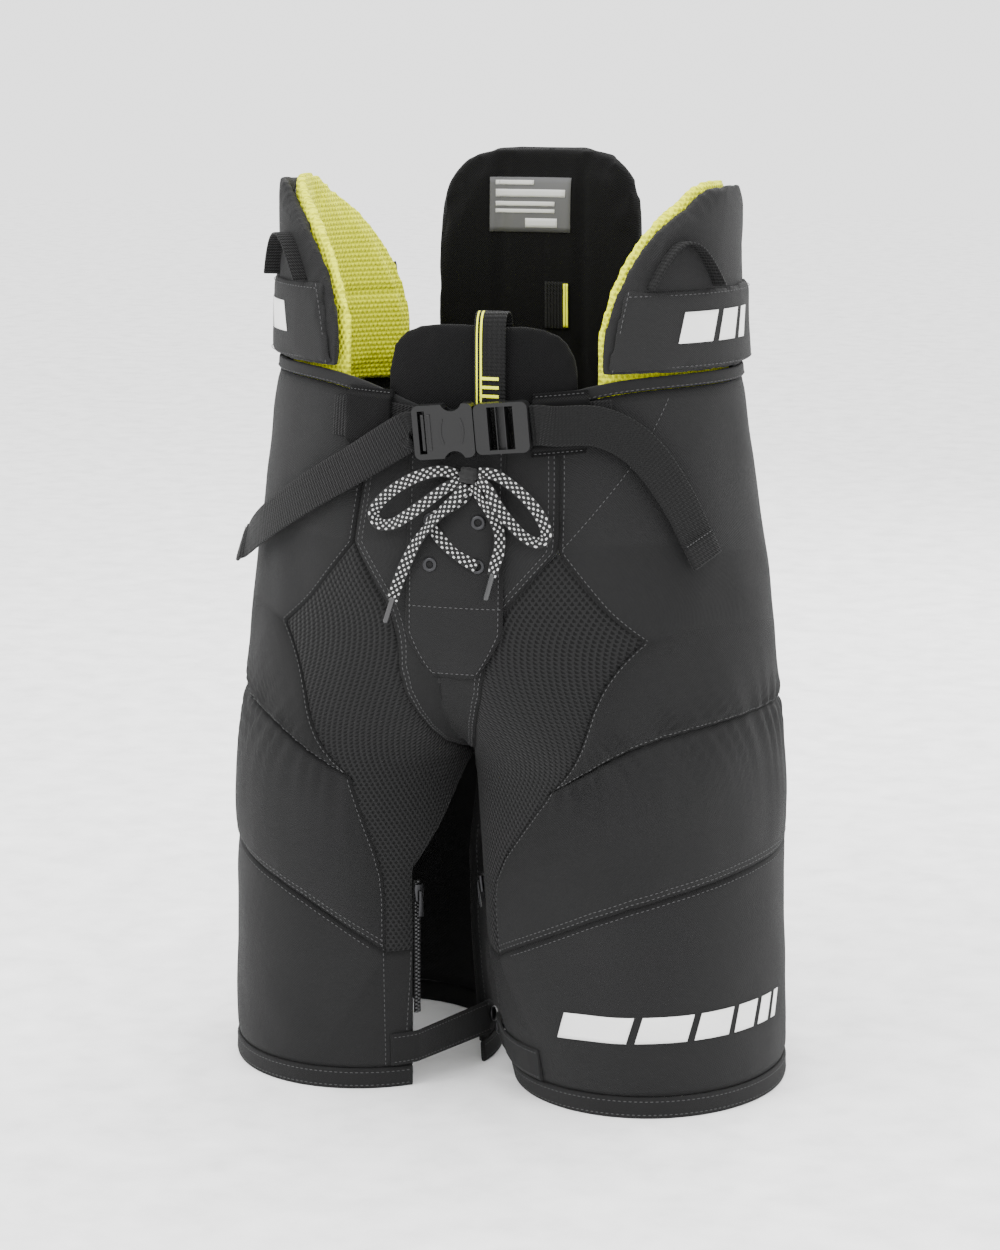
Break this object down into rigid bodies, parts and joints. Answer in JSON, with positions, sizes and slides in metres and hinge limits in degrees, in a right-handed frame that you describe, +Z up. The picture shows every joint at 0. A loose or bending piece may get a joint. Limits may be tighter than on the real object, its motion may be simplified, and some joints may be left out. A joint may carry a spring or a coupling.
{
  "type": "ice hockey pants",
  "caption": "Padded ice hockey pants with a paneled shell, open-topped waist with hip, back and belly pads, side-release belt, laced fly and zipped, snap-tabbed legs.",
  "frame": {"origin": "centre of the floor area under the two hems, on the plane that they stand on", "axes": "+Z up from the hems to the waist, +X to the wearer's left, -Y the way the wearer faces"},
  "size_m": [0.3708, 0.2514, 0.5968],
  "materials": {
    "shell_cloth": "woven dark grey nylon",
    "tab_cloth": "woven dark grey nylon",
    "wing_cloth": "woven dark grey nylon over foam",
    "thigh_mesh": "knitted dark grey mesh",
    "lining_cloth": "brushed black lining",
    "yellow_mesh": "fluorescent yellow spacer mesh",
    "guard_plastic": "moulded polyethylene",
    "pad_foam": "closed-cell foam",
    "webbing": "ribbed black webbing",
    "buckle_plastic": "moulded acetal",
    "snap_metal": "black coated",
    "zip_plastic": "moulded teeth",
    "lace": "black and white braided",
    "label_cloth": "printed satin"
  },
  "bodies": {
    "shell": {"side_panel_left": "shell_cloth", "side_panel_right": "shell_cloth", "thigh_panel_left": "shell_cloth", "thigh_panel_right": "shell_cloth", "lower_panel_left": "shell_cloth", "lower_panel_right": "shell_cloth", "seat_panel_left": "shell_cloth", "seat_panel_right": "shell_cloth", "rear_leg_panel_left": "shell_cloth", "rear_leg_panel_right": "shell_cloth", "hem_band_left": "shell_cloth", "hem_band_right": "shell_cloth", "waistband": "shell_cloth", "crotch_gusset": "shell_cloth", "fly_placket": "shell_cloth", "mesh_panel_left": "thigh_mesh", "mesh_panel_right": "thigh_mesh", "belt_keeper_left": "lining_cloth", "belt_keeper_right": "lining_cloth", "thigh_guard_left": "guard_plastic", "thigh_guard_right": "guard_plastic", "thigh_foam_left": "pad_foam", "thigh_foam_right": "pad_foam", "tailbone_pad": "pad_foam", "belt_webbing": "webbing", "belt_tail_socket_side": "webbing", "buckle_socket": "buckle_plastic", "snap_stud_left": "snap_metal", "snap_stud_right": "snap_metal", "zip_chain_left": "zip_plastic", "zip_chain_right": "zip_plastic", "lace_crossing": "lace", "lace_knot": "lace", "lace_bow_left": "lace", "lace_bow_right": "lace", "lace_tail_left": "lace", "lace_tail_right": "lace"},
    "buckle_plug": {"buckle_plug": "buckle_plastic", "belt_tail_plug_side": "webbing"},
    "snap_tab_left": {"snap_tab_left": "tab_cloth", "snap_cap_left": "snap_metal"},
    "snap_tab_right": {"snap_tab_right": "tab_cloth", "snap_cap_right": "snap_metal"},
    "zip_slider_left": {"zip_slider_left": "snap_metal"},
    "zip_slider_right": {"zip_slider_right": "snap_metal"},
    "hip_wing_left": {"hip_pad_left": "wing_cloth", "hip_insert_left": "guard_plastic", "hip_liner_left": "yellow_mesh", "hip_band_left": "wing_cloth", "hip_loop_left": "webbing"},
    "hip_wing_right": {"hip_pad_right": "wing_cloth", "hip_insert_right": "guard_plastic", "hip_liner_right": "yellow_mesh", "hip_band_right": "wing_cloth", "hip_loop_right": "webbing"},
    "belly_pad": {"belly_pad": "lining_cloth", "belly_pull_loop": "webbing"},
    "back_pad": {"back_pad": "lining_cloth", "size_label": "label_cloth", "back_tag": "webbing"}
  },
  "joints": [
    {"name": "buckle_release", "type": "slide", "parent": "shell", "child": "buckle_plug", "axis": [0.9942, 0.0625, 0.0872], "range_m": [0, 0.024]},
    {"name": "snap_tab_left_swing", "type": "hinge", "parent": "shell", "child": "snap_tab_left", "pos_m": [0.0482, -0.0888, 0.027], "axis": [0, 0, 1], "range_deg": [0, 6]},
    {"name": "snap_tab_right_swing", "type": "hinge", "parent": "shell", "child": "snap_tab_right", "pos_m": [-0.0514, -0.0888, 0.027], "axis": [0, 0, -1], "range_deg": [0, 4]},
    {"name": "zip_left_travel", "type": "slide", "parent": "shell", "child": "zip_slider_left", "axis": [0.1088, 0.0044, -0.9941], "range_m": [0, 0.072]},
    {"name": "zip_right_travel", "type": "slide", "parent": "shell", "child": "zip_slider_right", "axis": [0.0004, -0.0033, -1], "range_m": [0, 0.072]},
    {"name": "hip_wing_left_flex", "type": "hinge", "parent": "shell", "child": "hip_wing_left", "pos_m": [0.1566, 0, 0.4675], "axis": [0, 1, 0], "range_deg": [0, 20], "stiffness_Nm_per_rad": 6},
    {"name": "hip_wing_right_flex", "type": "hinge", "parent": "shell", "child": "hip_wing_right", "pos_m": [-0.1566, 0, 0.4675], "axis": [0, -1, 0], "range_deg": [0, 20], "stiffness_Nm_per_rad": 6},
    {"name": "belly_pad_fold", "type": "hinge", "parent": "shell", "child": "belly_pad", "pos_m": [0.012, -0.1042, 0.4625], "axis": [1, 0, 0], "range_deg": [0, 20], "stiffness_Nm_per_rad": 3},
    {"name": "back_pad_fold", "type": "hinge", "parent": "shell", "child": "back_pad", "pos_m": [-0.004, 0.1036, 0.469], "axis": [-1, 0, 0], "range_deg": [0, 15], "stiffness_Nm_per_rad": 6}
  ]
}
